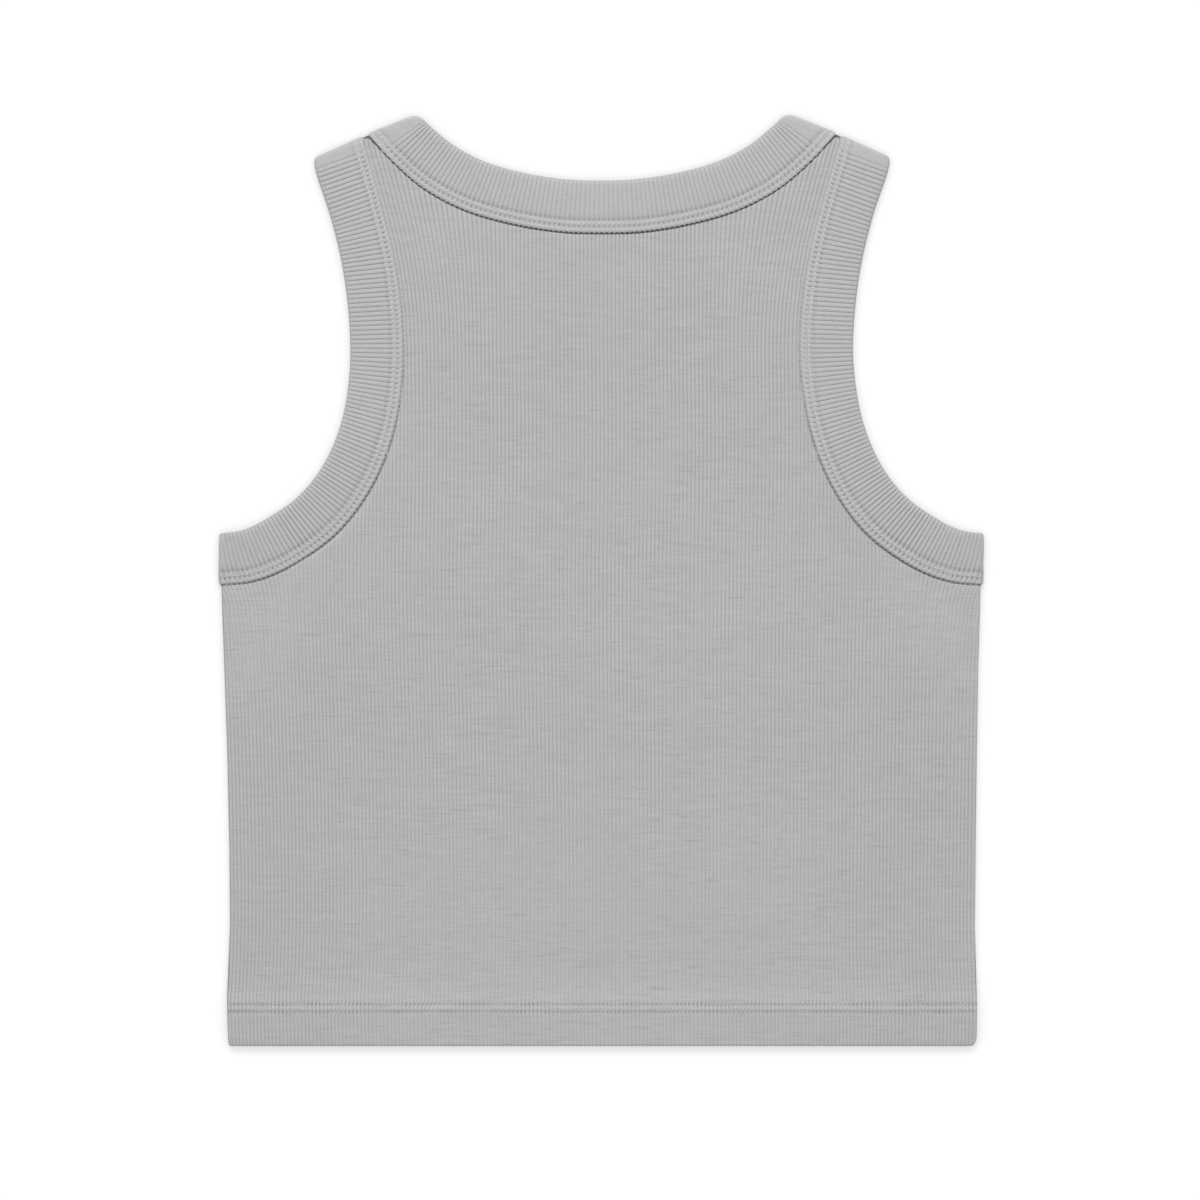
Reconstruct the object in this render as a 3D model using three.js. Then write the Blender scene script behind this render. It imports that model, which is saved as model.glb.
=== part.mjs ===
import * as THREE from "three";

// A ribbed tank top lying flat and face down, so its back is on top.
// All sizes are in millimetres. X runs across, Y from hem to shoulders, Z up.
// Every height below is measured from the surface the front rests on.
const CLOTH = 1.0;
const SEAM_GAP = 0.3;
const BODY_RIB_HEIGHT = 0.3;
const BODY_RIB_PITCH = 1.925;
const BAND_RIB_HEIGHT = 0.35;
const BAND_RIB_PITCH = 2.28;
const BACK_UNDER = CLOTH + SEAM_GAP;
const LAP_UNDER = BACK_UNDER + CLOTH + BODY_RIB_HEIGHT + SEAM_GAP;
const LAP_TOP = LAP_UNDER + CLOTH;

// The hem is turned to the inside, which doubles the cloth along the lower edge.
const HEM_DEPTH = 18.5;
const HEM_RAMP_END = 24;
const HEM_EXTRA = 0.9;
const HEM_EDGE = 0.9;

// Half width of the body at each height, read off the outline.
const UNDERARM = 231;
const SIDE_TABLE = [
  { y: 0, half: 186.9 },
  { y: 18.5, half: 187.5 },
  { y: 24, half: 187.5 },
  { y: 60, half: 186.2 },
  { y: 110, half: 186.7 },
  { y: 170, half: 188.0 },
  { y: UNDERARM, half: 189.8 },
];
const FULL_HALF = 189.8;
const SIDE_ROUND = 0.5;

// Each band is ruled between its seam on the body and its free edge.
// The rows run from the shoulder fold to the side, or to the middle of the neck.
const BACK_ARMHOLE = [
  { seamX: 120.0, seamY: 455.1, edgeX: 144.3, edgeY: 444.2 },
  { seamX: 117.3, seamY: 445.5, edgeX: 142.8, edgeY: 436.5 },
  { seamX: 111.0, seamY: 423.0, edgeX: 135.5, edgeY: 414.4 },
  { seamX: 103.0, seamY: 389.0, edgeX: 128.8, edgeY: 385.0 },
  { seamX: 99.5, seamY: 352.0, edgeX: 125.7, edgeY: 350.0 },
  { seamX: 101.2, seamY: 325.0, edgeX: 127.0, edgeY: 329.4 },
  { seamX: 107.0, seamY: 299.5, edgeX: 131.5, edgeY: 308.6 },
  { seamX: 117.7, seamY: 276.0, edgeX: 140.2, edgeY: 289.4 },
  { seamX: 134.0, seamY: 255.3, edgeX: 152.2, edgeY: 274.6 },
  { seamX: 158.0, seamY: 239.0, edgeX: 169.8, edgeY: 262.4 },
  { seamX: 189.0, seamY: 231.0, edgeX: 189.0, edgeY: 256.4 },
];
const FRONT_ARMHOLE = [
  { seamX: 120.0, seamY: 455.1, edgeX: 144.3, edgeY: 444.2 },
  { seamX: 116.3, seamY: 445.0, edgeX: 141.0, edgeY: 436.0 },
  { seamX: 108.5, seamY: 423.0, edgeX: 133.0, edgeY: 414.0 },
  { seamX: 99.0, seamY: 389.0, edgeX: 124.0, edgeY: 385.0 },
  { seamX: 93.0, seamY: 352.0, edgeX: 118.5, edgeY: 350.0 },
  { seamX: 93.5, seamY: 322.0, edgeX: 119.0, edgeY: 326.0 },
  { seamX: 99.0, seamY: 296.0, edgeX: 123.5, edgeY: 305.0 },
  { seamX: 110.0, seamY: 272.0, edgeX: 133.0, edgeY: 286.5 },
  { seamX: 128.0, seamY: 251.0, edgeX: 147.0, edgeY: 270.5 },
  { seamX: 154.0, seamY: 236.5, edgeX: 167.0, edgeY: 260.0 },
  { seamX: 189.0, seamY: 231.0, edgeX: 189.0, edgeY: 256.4 },
];
const BACK_NECK_HALF = [
  { seamX: 117.6, seamY: 456.4, edgeX: 94.6, edgeY: 465.6 },
  { seamX: 103.0, seamY: 441.0, edgeX: 85.4, edgeY: 459.7 },
  { seamX: 88.0, seamY: 428.5, edgeX: 73.4, edgeY: 450.1 },
  { seamX: 68.0, seamY: 418.1, edgeX: 58.3, edgeY: 442.3 },
  { seamX: 44.0, seamY: 411.2, edgeX: 38.4, edgeY: 436.6 },
  { seamX: 20.0, seamY: 407.4, edgeX: 17.4, edgeY: 433.4 },
  { seamX: 0.0, seamY: 406.75, edgeX: 0.0, edgeY: 432.75 },
];
const FRONT_NECK_HALF = [
  { seamX: 117.6, seamY: 456.4, edgeX: 94.6, edgeY: 465.6 },
  { seamX: 107.0, seamY: 441.0, edgeX: 85.0, edgeY: 452.8 },
  { seamX: 98.5, seamY: 423.0, edgeX: 75.8, edgeY: 433.5 },
  { seamX: 88.0, seamY: 400.0, edgeX: 66.0, edgeY: 412.0 },
  { seamX: 73.0, seamY: 376.0, edgeX: 53.2, edgeY: 391.3 },
  { seamX: 54.0, seamY: 356.0, edgeX: 39.5, edgeY: 376.4 },
  { seamX: 28.0, seamY: 344.0, edgeX: 21.1, edgeY: 368.0 },
  { seamX: 0.0, seamY: 340.5, edgeX: 0.0, edgeY: 365.5 },
];

// The shoulder fold is one slanted line across strap and bands.
const SHOULDER_NORMAL = new THREE.Vector2(0.4, 0.9165);
const SIDE_NORMAL = new THREE.Vector2(1, 0);
const SIDE_FOLD_X = 191.2;
const STRAP_END = 1.5;

// Shares of the band's width, counted from its seam.
const RAW_EDGE_SHARE = 0.3;
const STEP_SHARE = 0.345;
const PLAIN_SHOULDER = 9;
const FOLD_CLEAR = 2.2;
const COARSE_BACK = 22;
const COARSE_FRONT = 20;

// Ribs of the strap lean with the armhole above this height.
const LEAN_START = 351;
const LEAN_ROWS = [LEAN_START, 376, 400, 425, 443];

function clamp01(value) {
  return Math.min(1, Math.max(0, value));
}

function smooth(value) {
  const t = clamp01(value);
  return t * t * (3 - 2 * t);
}

function readTable(table, from, to, at) {
  let row = 0;
  while (row < table.length - 2 && at > table[row + 1][from]) {
    row += 1;
  }
  const low = table[row];
  const high = table[row + 1];
  const share = clamp01((at - low[from]) / (high[from] - low[from]));
  return low[to] + (high[to] - low[to]) * share;
}

function halfWidth(y) {
  return readTable(SIDE_TABLE, "y", "half", y);
}

function hemShare(y) {
  return clamp01((HEM_RAMP_END - y) / (HEM_RAMP_END - HEM_DEPTH));
}

function backUnder(y) {
  return BACK_UNDER + HEM_EXTRA * hemShare(y);
}

function backTop(y) {
  return backUnder(y) + CLOTH + HEM_EXTRA * hemShare(y);
}

function frontTop(y) {
  return CLOTH + HEM_EXTRA * hemShare(y);
}

function mirrorRows(half) {
  const other = half.slice(0, -1).reverse().map((row) => ({
    seamX: -row.seamX,
    seamY: row.seamY,
    edgeX: -row.edgeX,
    edgeY: row.edgeY,
  }));
  return half.concat(other);
}

// A strip between two smooth curves, walked by distance along its middle.
class Strip {
  constructor(rows) {
    const seam = rows.map((row) => new THREE.Vector3(row.seamX, row.seamY, 0));
    const edge = rows.map((row) => new THREE.Vector3(row.edgeX, row.edgeY, 0));
    this.seam = new THREE.CatmullRomCurve3(seam, false, "centripetal");
    this.edge = new THREE.CatmullRomCurve3(edge, false, "centripetal");
    this.marks = [{ walked: 0, step: 0 }];
    const pieces = 480;
    let last = this.at(0, 0.5);
    for (let i = 1; i <= pieces; i += 1) {
      const here = this.at(i / pieces, 0.5);
      const walked = this.marks[i - 1].walked + here.distanceTo(last);
      this.marks.push({ walked, step: i / pieces });
      last = here;
    }
    this.length = this.marks[pieces].walked;
  }

  at(step, share) {
    const t = clamp01(step);
    return this.seam.getPoint(t).lerp(this.edge.getPoint(t), share);
  }

  walk(distance, share) {
    return this.at(readTable(this.marks, "walked", "step", distance), share);
  }
}

// Points and faces of one closed solid.
class Solid {
  constructor() {
    this.points = [];
    this.faces = [];
  }

  add(x, y, z) {
    this.points.push(new THREE.Vector3(x, y, z));
    return this.points.length - 1;
  }

  face(a, b, c) {
    this.faces.push([a, b, c]);
  }

  // Joins two chains of points, stepping along whichever lags behind.
  // A long chain beside a short one is joined only as far as the short one goes.
  join(first, second, whole) {
    let a = 0;
    let b = 0;
    for (;;) {
      const moreFirst = a < first.length - 1;
      const moreSecond = b < second.length - 1;
      if (!moreFirst && !moreSecond) {
        return;
      }
      if (!whole && !moreSecond && first[a].key >= second[b].key) {
        return;
      }
      if (!whole && !moreFirst && second[b].key >= first[a].key) {
        return;
      }
      if (!moreSecond || (moreFirst && first[a + 1].key <= second[b + 1].key)) {
        this.face(first[a].id, first[a + 1].id, second[b].id);
        a += 1;
      } else {
        this.face(first[a].id, second[b + 1].id, second[b].id);
        b += 1;
      }
    }
  }

  // Fills a level outline that is given anticlockwise from above.
  fill(ids, upward) {
    const outline = ids.map((id) => new THREE.Vector2(this.points[id].x, this.points[id].y));
    THREE.ShapeUtils.triangulateShape(outline, []).forEach(([a, b, c]) => {
      if (upward) {
        this.face(ids[a], ids[b], ids[c]);
      } else {
        this.face(ids[a], ids[c], ids[b]);
      }
    });
  }

  // The open border of the faces so far, walked against their direction.
  border() {
    const paired = new Set();
    this.faces.forEach(([a, b, c]) => {
      paired.add(`${a},${b}`);
      paired.add(`${b},${c}`);
      paired.add(`${c},${a}`);
    });
    const next = new Map();
    this.faces.forEach(([a, b, c]) => {
      [[a, b], [b, c], [c, a]].forEach(([from, to]) => {
        if (!paired.has(`${to},${from}`)) {
          next.set(to, from);
        }
      });
    });
    const start = next.keys().next().value;
    const loop = [start];
    while (next.get(loop[loop.length - 1]) !== start) {
      loop.push(next.get(loop[loop.length - 1]));
    }
    return loop;
  }

  volume() {
    return this.faces.reduce((sum, [a, b, c]) => {
      const cross = new THREE.Vector3().crossVectors(this.points[b], this.points[c]);
      return sum + this.points[a].dot(cross) / 6;
    }, 0);
  }

  mesh(name, color) {
    if (this.volume() < 0) {
      this.faces = this.faces.map(([a, b, c]) => [a, c, b]);
    }
    const geometry = new THREE.BufferGeometry();
    geometry.setAttribute(
      "position",
      new THREE.Float32BufferAttribute(this.points.flatMap((p) => [p.x, p.y, p.z]), 3),
    );
    geometry.setIndex(this.faces.flat());
    geometry.computeVertexNormals();
    const material = new THREE.MeshStandardMaterial({ color, roughness: 0.95, metalness: 0 });
    const mesh = new THREE.Mesh(geometry, material);
    mesh.name = name;
    return mesh;
  }
}

const backArmhole = new Strip(BACK_ARMHOLE);
const frontArmhole = new Strip(FRONT_ARMHOLE);
const backNeck = new Strip(mirrorRows(BACK_NECK_HALF));
const frontNeck = new Strip(mirrorRows(FRONT_NECK_HALF));

// The cut edge of the back under the bands, as tables that read both ways.
const armholeCut = [];
const neckCut = [];
for (let i = 0; i <= 200; i += 1) {
  const arm = backArmhole.at(1 - i / 200, RAW_EDGE_SHARE);
  armholeCut.push({ x: arm.x, y: arm.y });
  const neck = backNeck.at(0.5 - i / 400, RAW_EDGE_SHARE);
  neckCut.push({ x: neck.x, y: neck.y });
}
const narrowest = Math.min(...armholeCut.map((row) => row.x));

function armholeLimit(y) {
  if (y <= armholeCut[0].y) {
    return Infinity;
  }
  return readTable(armholeCut, "y", "x", y);
}

function neckLimit(x) {
  if (x >= neckCut[neckCut.length - 1].x) {
    return Infinity;
  }
  return readTable(neckCut, "x", "y", x);
}

function shoulderLimit(x) {
  const corner = BACK_ARMHOLE[0];
  const slope = SHOULDER_NORMAL.x / SHOULDER_NORMAL.y;
  return corner.seamY - slope * (x - corner.seamX) - STRAP_END / SHOULDER_NORMAL.y;
}

// Where a rib that sits at "across" under the arm is found at height y.
function ribX(across, y) {
  const low = Math.min(y, UNDERARM);
  const lean = y > LEAN_START ? armholeLimit(y) - narrowest : 0;
  const share = smooth((Math.abs(across) - 40) / 60);
  return (across * halfWidth(low)) / FULL_HALF + Math.sign(across) * lean * share;
}

function insideBack(across, y) {
  const x = Math.abs(ribX(across, y));
  const armholeOk = x <= armholeLimit(y) + 0.01;
  return armholeOk && y <= neckLimit(x) && y <= shoulderLimit(x);
}

function ribEnd(across) {
  let y = UNDERARM;
  while (insideBack(across, y + 0.5)) {
    y += 0.5;
  }
  let step = 0.25;
  while (step > 0.01) {
    if (insideBack(across, y + step)) {
      y += step;
    }
    step /= 2;
  }
  return y;
}

// Splits a closed outline so that only points off the straight run are kept.
function thinLoop(points, tolerance) {
  const keep = new Set();
  const split = (from, to) => {
    const a = points[from % points.length];
    const b = points[to % points.length];
    const run = new THREE.Vector2(b.x - a.x, b.y - a.y);
    const size = Math.max(run.length(), 1e-6);
    let worst = 0;
    let at = from;
    for (let i = from + 1; i < to; i += 1) {
      const p = points[i];
      const off = Math.abs(run.x * (p.y - a.y) - run.y * (p.x - a.x)) / size;
      if (off > worst) {
        worst = off;
        at = i;
      }
    }
    if (worst > tolerance) {
      split(from, at);
      split(at, to);
    } else {
      keep.add(from % points.length);
      keep.add(to % points.length);
    }
  };
  const middle = Math.floor(points.length / 2);
  split(0, middle);
  split(middle, points.length);
  return keep;
}

function buildBack() {
  const solid = new Solid();
  const rows = [HEM_EDGE, HEM_DEPTH, HEM_RAMP_END, 60, 110, 170, UNDERARM];
  const hemIds = new Set();
  const sideIds = new Set();
  const columns = [];
  const ribSteps = Math.floor((FULL_HALF - 1.2) / (BODY_RIB_PITCH / 2));
  const places = [{ across: -(FULL_HALF - SIDE_ROUND), rise: -0.3, side: true }];
  for (let k = -ribSteps; k <= ribSteps; k += 1) {
    const crest = k % 2 === 0;
    places.push({
      across: (k * BODY_RIB_PITCH) / 2,
      rise: crest ? BODY_RIB_HEIGHT : 0,
      side: false,
    });
  }
  places.push({ across: FULL_HALF - SIDE_ROUND, rise: -0.3, side: true });
  places.forEach(({ across, rise, side }) => {
    const end = ribEnd(across);
    const heights = rows.slice();
    if (Math.abs(across) > 40) {
      heights.push(...LEAN_ROWS.filter((y) => y < end - 2));
    }
    heights.push(end);
    const column = heights.map((y) => {
      const id = solid.add(ribX(across, y), y, backTop(y) + rise);
      if (side) {
        sideIds.add(id);
      }
      if (y === HEM_EDGE) {
        hemIds.add(id);
      }
      return { id, key: y };
    });
    columns.push(column);
  });
  for (let i = 0; i < columns.length - 1; i += 1) {
    solid.join(columns[i], columns[i + 1], false);
  }

  const loop = solid.border();
  const flat = loop.map((id) => solid.points[id].clone());
  const keep = thinLoop(flat, 0.15);
  loop.forEach((id, at) => {
    if (sideIds.has(id)) {
      keep.add(at);
    }
  });
  const top = loop.map((id, key) => ({ id, key }));
  const middle = [];
  const under = [];
  [...keep].sort((a, b) => a - b).forEach((key) => {
    const id = loop[key];
    const { x, y } = solid.points[id];
    const out = sideIds.has(id) ? Math.sign(x) * SIDE_ROUND : 0;
    const edgeY = hemIds.has(id) ? 0 : y;
    const corner = hemIds.has(id) && sideIds.has(id) ? Math.sign(x) * 1.2 : 0;
    const low = backUnder(y);
    const rise = (backTop(y) - low) * 0.45;
    middle.push({ id: solid.add(x + out - corner, edgeY, low + rise), key });
    under.push({ id: solid.add(x - corner, edgeY + (hemIds.has(id) ? 0.3 : 0), low), key });
  });
  const close = (chain) => chain.concat([{ id: chain[0].id, key: loop.length + chain[0].key }]);
  const topClosed = close(top);
  const firstKept = middle[0].key;
  const turned = topClosed.slice(firstKept, -1)
    .concat(top.slice(0, firstKept).map(({ id, key }) => ({ id, key: key + loop.length })))
    .concat([{ id: top[firstKept].id, key: firstKept + loop.length }]);
  solid.join(turned, close(middle), true);
  solid.join(close(middle), close(under), true);

  const ids = under.map(({ id }) => id);
  const hemPart = ids.filter((id) => solid.points[id].y <= HEM_DEPTH + 0.01);
  const bodyPart = ids.filter((id) => solid.points[id].y >= HEM_RAMP_END - 0.01);
  const rampPart = ids.filter((id) => {
    const { y } = solid.points[id];
    return Math.abs(y - HEM_DEPTH) < 0.01 || Math.abs(y - HEM_RAMP_END) < 0.01;
  });
  solid.fill(hemPart, true);
  solid.fill(rampPart, true);
  solid.fill(bodyPart, true);
  return solid.mesh("back_panel", 0xb2b4b3);
}

// Stations on the seam of a front band, used by the band and by the front panel.
function frontStation(strip, i, startClear, endClear) {
  const run = strip.length - startClear - endClear;
  return startClear + (run * i) / COARSE_FRONT;
}

function buildFront() {
  const solid = new Solid();
  const right = [];
  [0.9, HEM_DEPTH, HEM_RAMP_END, 60, 110, 170, 205].forEach((y) => {
    right.push({ x: halfWidth(y) - SIDE_ROUND, y, side: true, hem: y === 0.9 });
  });
  const back = SEAM_GAP + 0.05;
  const band = 25.5;
  right.push({ x: FULL_HALF - SIDE_ROUND, y: UNDERARM - back, side: true, hem: false });
  for (let i = COARSE_FRONT; i >= 0; i -= 1) {
    const walked = frontStation(frontArmhole, i, FOLD_CLEAR, 0);
    const p = frontArmhole.walk(walked, -back / band);
    right.push({ x: p.x, y: p.y, side: false, hem: false });
  }
  const half = COARSE_FRONT / 2;
  for (let i = 0; i <= half; i += 1) {
    const walked = frontStation(frontNeck, i, FOLD_CLEAR, FOLD_CLEAR);
    const p = frontNeck.walk(walked, -back / band);
    right.push({ x: i === half ? 0 : p.x, y: p.y, side: false, hem: false });
  }
  const left = right.slice(0, -1).reverse().map((p) => ({ ...p, x: -p.x }));
  const outline = right.concat(left);
  const top = [];
  const middle = [];
  const under = [];
  outline.forEach(({ x, y, side, hem }, key) => {
    const out = side ? Math.sign(x) * SIDE_ROUND : 0;
    const corner = hem ? Math.sign(x) * 1.2 : 0;
    const height = frontTop(y);
    top.push({ id: solid.add(x, y, height), key });
    middle.push({ id: solid.add(x + out - corner, hem ? 0 : y, height * 0.55), key });
    under.push({ id: solid.add(x - corner, hem ? 0.3 : y, 0), key });
  });
  const close = (chain) => chain.concat([{ id: chain[0].id, key: outline.length }]);
  solid.join(close(top), close(middle), true);
  solid.join(close(middle), close(under), true);
  solid.fill(under.map(({ id }) => id), true);
  const ids = top.map(({ id }) => id);
  const level = (y, at) => Math.abs(y - at) < 0.01;
  solid.fill(ids.filter((id) => solid.points[id].y <= HEM_DEPTH + 0.01), false);
  solid.fill(ids.filter((id) => {
    const { y } = solid.points[id];
    return level(y, HEM_DEPTH) || level(y, HEM_RAMP_END);
  }), false);
  solid.fill(ids.filter((id) => solid.points[id].y >= HEM_RAMP_END - 0.01), false);
  return solid.mesh("front_panel", 0xb2b4b3);
}

// How each line of a band passes the folds: distance inside the fold, and height.
const OUTER_FOLD = [
  { inside: 0.8, height: 3.85 },
  { inside: 0.2, height: 3.35 },
  { inside: 0, height: 2.6 },
  { inside: 0, height: 1.0 },
  { inside: 0.25, height: 0.3 },
  { inside: 0.9, height: 0 },
];
const EDGE_FOLD = [
  { inside: 0.8, height: 2.6 },
  { inside: 0.6, height: 1.8 },
  { inside: 0.8, height: 0.6 },
];
const LAP_FOLD = [
  { inside: 1.15, height: 2.88 },
  { inside: 0.95, height: 2.5 },
  { inside: 0.95, height: 1.4 },
  { inside: 1.15, height: 1.0 },
];
const SLIT_FOLD = [
  { inside: 1.6, height: BACK_UNDER },
  { inside: 1.45, height: 1.15 },
  { inside: 1.6, height: CLOTH },
];

// The section of a band, as the lines that run round it.
const BAND_LINES = [
  { share: 0, back: LAP_UNDER, front: CLOTH, frontShare: 0, fold: LAP_FOLD, rib: 0 },
  { share: STEP_SHARE, back: LAP_UNDER, front: CLOTH, frontShare: STEP_SHARE, fold: LAP_FOLD, rib: 0 },
  { share: STEP_SHARE, back: BACK_UNDER, front: CLOTH, frontShare: 0.38, fold: SLIT_FOLD, rib: 0 },
  { share: 0.985, back: BACK_UNDER, front: CLOTH, frontShare: 0.985, fold: SLIT_FOLD, rib: 0 },
  { share: 1, back: 2.7, front: 0.5, frontShare: 1, fold: EDGE_FOLD, rib: 0 },
  { share: 0.97, back: LAP_TOP - 0.1, front: 0, frontShare: 0.97, fold: OUTER_FOLD, rib: BAND_RIB_HEIGHT },
  { share: 0.25, back: LAP_TOP, front: 0, frontShare: 0.25, fold: OUTER_FOLD, rib: BAND_RIB_HEIGHT },
  { share: 0.23, back: LAP_TOP - 0.1, front: 0, frontShare: 0.23, fold: OUTER_FOLD, rib: 0 },
  { share: 0.015, back: LAP_TOP - 0.15, front: 0, frontShare: 0.015, fold: OUTER_FOLD, rib: 0 },
];

function foldPoints(line, end) {
  const last = line.fold.length - 1;
  return line.fold.map(({ inside, height }, i) => {
    const share = line.share + ((line.frontShare - line.share) * i) / last;
    const corner = end.corner(share);
    const x = corner.x - end.normal.x * inside;
    const y = corner.y - end.normal.y * inside;
    return new THREE.Vector3(x, y, height);
  });
}

// A closed band: over the back, round one fold, along the front, round the other.
function buildBand(name, back, front, start, end, mirrored) {
  const solid = new Solid();
  const side = mirrored ? -1 : 1;
  const backRun = back.length - start.clear - end.clear;
  const ribSteps = 2 * Math.round(backRun / BAND_RIB_PITCH);
  const chains = BAND_LINES.map((line) => {
    const chain = [];
    const put = (p, key) => chain.push({ id: solid.add(p.x * side, p.y, p.z), key });
    const steps = line.rib > 0 ? ribSteps : COARSE_BACK;
    for (let i = 0; i <= steps; i += 1) {
      const walked = start.clear + (backRun * i) / steps;
      const p = back.walk(walked, line.share);
      const fromStart = start.plain > 0 ? smooth((walked - 4) / start.plain) : 1;
      const fromEnd = end.plain > 0 ? smooth((back.length - walked - 4) / end.plain) : 1;
      const crest = i % 2 === 0 ? 1 : 0;
      p.z = line.back + line.rib * crest * fromStart * fromEnd;
      put(p, i / steps);
    }
    const farFold = foldPoints(line, end);
    farFold.forEach((p, i) => put(p, 1 + (i + 1) / (farFold.length + 1)));
    for (let i = COARSE_FRONT; i >= 0; i -= 1) {
      const p = front.walk(frontStation(front, i, start.clear, end.clear), line.frontShare);
      p.z = line.front;
      put(p, 2 + (COARSE_FRONT - i) / COARSE_FRONT);
    }
    const nearFold = foldPoints(line, start).reverse();
    nearFold.forEach((p, i) => put(p, 3 + (i + 1) / (nearFold.length + 1)));
    chain.push({ id: chain[0].id, key: 4 });
    return chain;
  });
  chains.forEach((chain, i) => {
    solid.join(chain, chains[(i + 1) % chains.length], true);
  });
  return solid.mesh(name, 0xb8bab9);
}

const shoulderEnd = {
  corner: (share) => backArmhole.at(0, share),
  normal: SHOULDER_NORMAL,
  clear: FOLD_CLEAR,
  plain: PLAIN_SHOULDER,
};
const sideEnd = {
  corner: (share) => new THREE.Vector3(SIDE_FOLD_X, backArmhole.at(1, share).y, 0),
  normal: SIDE_NORMAL,
  clear: 0,
  plain: 0,
};
const neckRightEnd = {
  corner: (share) => backNeck.at(0, share),
  normal: SHOULDER_NORMAL,
  clear: FOLD_CLEAR,
  plain: PLAIN_SHOULDER,
};
const neckLeftEnd = {
  corner: (share) => backNeck.at(1, share),
  normal: new THREE.Vector2(-SHOULDER_NORMAL.x, SHOULDER_NORMAL.y),
  clear: FOLD_CLEAR,
  plain: PLAIN_SHOULDER,
};

const top = new THREE.Group();
top.name = "tank_top";
top.add(buildBack());
top.add(buildFront());
top.add(buildBand("neck_binding", backNeck, frontNeck, neckRightEnd, neckLeftEnd, false));
top.add(buildBand("armhole_binding_left", backArmhole, frontArmhole, shoulderEnd, sideEnd, true));
top.add(buildBand("armhole_binding_right", backArmhole, frontArmhole, shoulderEnd, sideEnd, false));

// The origin is the middle of the footprint, at the level of the floor.
const box = new THREE.Box3();
top.children.forEach((mesh) => {
  mesh.geometry.computeBoundingBox();
  box.union(mesh.geometry.boundingBox);
});
const centre = box.getCenter(new THREE.Vector3());
top.children.forEach((mesh) => {
  mesh.geometry.translate(-centre.x, -centre.y, -box.min.z);
});

export default top;
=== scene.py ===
import math

import bpy
import numpy as np
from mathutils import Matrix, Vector


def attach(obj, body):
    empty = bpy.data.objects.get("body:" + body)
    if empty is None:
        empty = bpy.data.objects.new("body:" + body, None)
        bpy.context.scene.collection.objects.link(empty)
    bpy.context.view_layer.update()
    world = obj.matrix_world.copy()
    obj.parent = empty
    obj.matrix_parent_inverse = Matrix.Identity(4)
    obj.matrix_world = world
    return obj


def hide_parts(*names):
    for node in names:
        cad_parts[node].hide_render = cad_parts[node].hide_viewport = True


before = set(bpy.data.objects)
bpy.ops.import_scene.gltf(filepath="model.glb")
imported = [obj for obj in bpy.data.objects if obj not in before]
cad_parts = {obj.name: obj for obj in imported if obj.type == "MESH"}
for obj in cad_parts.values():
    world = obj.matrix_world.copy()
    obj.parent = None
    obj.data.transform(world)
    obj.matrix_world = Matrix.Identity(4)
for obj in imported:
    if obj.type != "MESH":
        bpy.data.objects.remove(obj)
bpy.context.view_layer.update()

# Sizes are in millimetres, measured up from the hem and out from the middle
# of the back. The garment's own origin is the middle of its footprint.
MM = 0.001
HALF_LENGTH = 232.66
UNDERARM = 231.0
FULL_HALF = 189.8
CLOTH = 1.0
BACK_UNDER = 1.3
BODY_PITCH = 1.925
BODY_RIB = 0.42
BAND_PITCH = 2.28
BAND_RIB = 0.55
BAND_WIDTH = 25.8
LAP_UNDER = 2.9
HEM_DEPTH = 18.5
HEM_RAMP_END = 30.0
HEM_EXTRA = 0.9
HEM_CORNER = 3.4
HEM_ROWS = (17.1, 20.8)
HEM_THREADS = (15.7, 19.15)
HEM_STITCH = 2.05
SEWN_ROWS = (2.6, 6.0)
THREAD_ROWS = (1.2, 4.3)
THREAD_HEIGHTS = (3.06, 3.20)
RAW_SHARE = 0.3
STEP_SHARE = 0.345
SIDE_FOLD_X = 191.2
SHOULDER_NORMAL = np.array([0.4, 0.9165])
LEAN_START = 351.0
RIB_SPREAD = 0.010
FAN_SWING = 6.0
FAN_REACH = 12.0
SIDE_LEAN_LENGTH = 36.0
SEAM_GROOVE = 0.6
TUCKED_HEIGHT = 2.5
LEFT_STRAP_LIFT = -0.2
RIGHT_STRAP_LIFT = 0.25

SIDE_Y = [0, 10.5, 23, 35.5, 48, 60.5, 73, 98, 123, 148, 173, 198, 210.5, 223, 231]
SIDE_HALF = [
    187.0, 187.3, 187.5, 186.8, 186.4, 186.2, 186.15, 186.55,
    186.85, 187.4, 188.05, 188.75, 189.1, 189.6, 189.8,
]
SWAY_Y = [0, 23, 73, 98, 148, 173, 185, 198, 231]
SWAY_X = [0.7, 0.45, 0.75, 0.75, 0.5, 0.3, 0.17, 0.0, 0.0]
ARM_SWAY_Y = [240, 270, 295, 320, 350, 420, 445]
ARM_SWAY_X = [0.0, 0.45, 0.65, 0.6, 0.3, 0.3, 0.5]

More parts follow.
